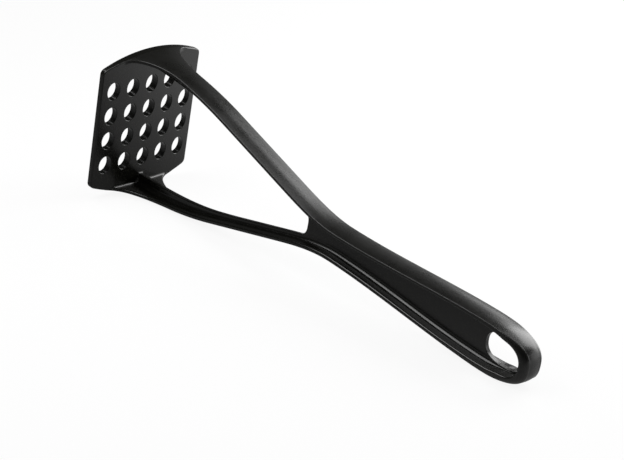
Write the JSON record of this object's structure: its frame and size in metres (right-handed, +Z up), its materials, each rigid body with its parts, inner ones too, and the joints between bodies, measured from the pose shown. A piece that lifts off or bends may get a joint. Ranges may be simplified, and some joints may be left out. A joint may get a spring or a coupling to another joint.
{
  "type": "potato masher",
  "caption": "One-piece black nylon potato masher: perforated plate on bowed arms that merge into a webbed handle with an oval hanging hole.",
  "frame": {"origin": "centre of the footprint box on the table, with the masher lying on its lower arm and the heel of its handle", "axes": "+Z up, +X from the mashing plate towards the handle's end, +Y across the width"},
  "size_m": [0.2746, 0.0632, 0.0786],
  "materials": {
    "satin_nylon": "fine satin moulded texture",
    "smooth_nylon": "smooth semi-gloss moulded surface"
  },
  "bodies": {
    "root": {"mashing_plate": "smooth_nylon", "upper_arm": "satin_nylon", "lower_arm": "satin_nylon", "upper_rib": "smooth_nylon", "lower_rib": "smooth_nylon", "upper_rail": "satin_nylon", "lower_rail": "satin_nylon", "handle_web": "smooth_nylon", "handle_end": "satin_nylon"}
  },
  "joints": []
}
